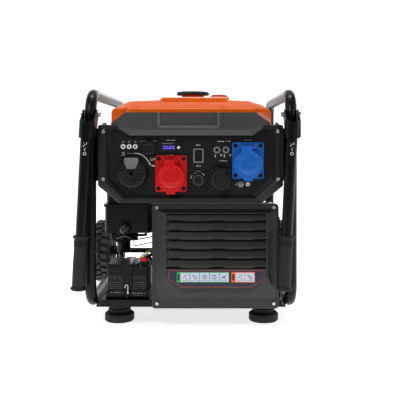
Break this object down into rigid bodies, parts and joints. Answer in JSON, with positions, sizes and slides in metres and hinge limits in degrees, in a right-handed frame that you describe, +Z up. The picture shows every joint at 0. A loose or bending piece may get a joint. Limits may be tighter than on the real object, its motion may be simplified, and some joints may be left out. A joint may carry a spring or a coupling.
{
  "type": "inverter generator",
  "caption": "Open-frame inverter generator: tube hoops, sloped fuel tank, control panel with sockets and dial, louvred cover, battery, two wheels and drop handles.",
  "frame": {"origin": "on the floor under the middle of the machine's bounding box", "axes": "+X to the right seen from the control panel, +Y from the panel to the back, +Z up"},
  "size_m": [0.64, 0.704, 0.588],
  "materials": {
    "black_paint": "gloss powder coat",
    "black_plastic": "moulded, fine grain",
    "dark_moulding": "moulded, satin",
    "orange_paint": "gloss",
    "red_plastic": "gloss",
    "blue_plastic": "gloss",
    "rubber": "matt",
    "tyre": "matt",
    "zinc": "bright zinc",
    "aluminium": "as cast",
    "steel": "satin",
    "copper_steel": "laminations and copper coils",
    "lens": "gloss",
    "label": "gloss film",
    "cable": "satin"
  },
  "bodies": {
    "frame": {"hoop_left": "black_paint", "hoop_right": "black_paint", "base_frame": "black_paint", "upper_frame": "black_paint", "front_feet": "rubber", "axle": "zinc", "axle_brackets": "black_paint", "handle_pivots": "zinc", "fuel_tank": "orange_paint", "tank_shroud": "dark_moulding", "panel_bezel": "dark_moulding", "control_panel": "black_plastic", "inverter_module": "aluminium", "panel_screws": "black_paint", "bright_bolts": "zinc", "indicator_lamps": "lens", "usb_socket": "black_plastic", "display_module": "black_plastic", "red_socket": "red_plastic", "blue_socket": "blue_plastic", "household_socket": "black_plastic", "rocker_frame": "black_plastic", "transfer_socket": "black_plastic", "breakers": "black_plastic", "ground_terminal": "zinc", "louvred_cover": "dark_moulding", "cover_label": "label", "alternator_plate": "aluminium", "alternator_stator": "copper_steel", "engine_block": "aluminium", "cylinder": "aluminium", "flywheel_cover": "black_paint", "muffler": "steel", "air_filter_box": "black_plastic", "carburettor": "aluminium", "fuel_tap": "rubber", "battery": "black_plastic", "battery_tray": "black_paint", "battery_cables": "cable"},
    "handle_left_arm": {"handle_left": "black_paint", "grip_left": "rubber"},
    "handle_right_arm": {"handle_right": "black_paint", "grip_right": "rubber"},
    "wheel_left": {"tyre_left": "tyre", "rim_left": "black_plastic"},
    "wheel_right": {"tyre_right": "tyre", "rim_right": "black_plastic"},
    "tank_cap": {"fuel_cap": "black_plastic"},
    "crank": {"rotor": "steel"},
    "dial": {"control_dial": "black_plastic"},
    "red_flap": {"red_lid": "red_plastic"},
    "blue_flap": {"blue_lid": "blue_plastic"},
    "household_flap": {"household_lid": "black_plastic"},
    "usb_flap": {"usb_lid": "rubber"},
    "transfer_flap": {"transfer_cap": "rubber"},
    "rocker": {"mode_rocker": "black_plastic"},
    "display_key": {"display_button": "lens"},
    "breaker_key_1": {"breaker_button_1": "black_plastic"},
    "breaker_key_2": {"breaker_button_2": "black_plastic"},
    "filter_knob": {"air_filter_knob": "black_plastic"}
  },
  "joints": [
    {"name": "left_handle_swing", "type": "hinge", "parent": "frame", "child": "handle_left_arm", "pos_m": [-0.243, -0.292, 0.519], "axis": [-1, 0, 0], "range_deg": [0, 90]},
    {"name": "right_handle_swing", "type": "hinge", "parent": "frame", "child": "handle_right_arm", "pos_m": [0.243, -0.292, 0.519], "axis": [-1, 0, 0], "range_deg": [0, 90]},
    {"name": "left_wheel_spin", "type": "hinge", "parent": "frame", "child": "wheel_left", "pos_m": [-0.291, 0.2545, 0.0975], "axis": [1, 0, 0], "continuous": true},
    {"name": "right_wheel_spin", "type": "hinge", "parent": "frame", "child": "wheel_right", "pos_m": [0.291, 0.2545, 0.0975], "axis": [1, 0, 0], "continuous": true},
    {"name": "cap_turn", "type": "hinge", "parent": "frame", "child": "tank_cap", "pos_m": [0, -0.062, 0.58], "axis": [0, 0, 1], "range_deg": [0, 90]},
    {"name": "crank_spin", "type": "hinge", "parent": "frame", "child": "crank", "pos_m": [0.062, -0.2, 0.178], "axis": [0, 1, 0], "continuous": true},
    {"name": "dial_turn", "type": "hinge", "parent": "frame", "child": "dial", "pos_m": [-0.141, -0.312, 0.376], "axis": [0, -1, 0], "range_deg": [0, 120]},
    {"name": "red_lid_swing", "type": "hinge", "parent": "frame", "child": "red_flap", "pos_m": [-0.047, -0.318, 0.407], "axis": [-1, 0, 0], "range_deg": [0, 100], "stiffness_Nm_per_rad": 0.02, "springref_deg": -40.11},
    {"name": "blue_lid_swing", "type": "hinge", "parent": "frame", "child": "blue_flap", "pos_m": [0.138, -0.318, 0.4385], "axis": [-1, 0, 0], "range_deg": [0, 100], "stiffness_Nm_per_rad": 0.02, "springref_deg": -40.11},
    {"name": "household_lid_swing", "type": "hinge", "parent": "frame", "child": "household_flap", "pos_m": [0.0725, -0.318, 0.386], "axis": [-1, 0, 0], "range_deg": [0, 100], "stiffness_Nm_per_rad": 0.01, "springref_deg": -34.38},
    {"name": "usb_lid_swing", "type": "hinge", "parent": "frame", "child": "usb_flap", "pos_m": [-0.1, -0.305, 0.4525], "axis": [-1, 0, 0], "range_deg": [0, 100]},
    {"name": "transfer_cap_swing", "type": "hinge", "parent": "frame", "child": "transfer_flap", "pos_m": [0.0184, -0.3085, 0.378], "axis": [-1, 0, 0], "range_deg": [0, 100]},
    {"name": "rocker_tilt", "type": "hinge", "parent": "frame", "child": "rocker", "pos_m": [0.0188, -0.297, 0.4178], "axis": [1, 0, 0], "range_deg": [-8, 8]},
    {"name": "display_key_push", "type": "slide", "parent": "frame", "child": "display_key", "axis": [0, 1, 0], "range_m": [0, 0.0012], "stiffness_N_per_m": 300, "springref_m": -0.001},
    {"name": "breaker_1_push", "type": "slide", "parent": "frame", "child": "breaker_key_1", "axis": [0, 1, 0], "range_m": [0, 0.0025], "stiffness_N_per_m": 300, "springref_m": -0.001},
    {"name": "breaker_2_push", "type": "slide", "parent": "frame", "child": "breaker_key_2", "axis": [0, 1, 0], "range_m": [0, 0.0025], "stiffness_N_per_m": 300, "springref_m": -0.001},
    {"name": "filter_knob_turn", "type": "hinge", "parent": "frame", "child": "filter_knob", "pos_m": [-0.165, -0.245, 0.234], "axis": [0, 1, 0], "range_deg": [0, 180]}
  ]
}
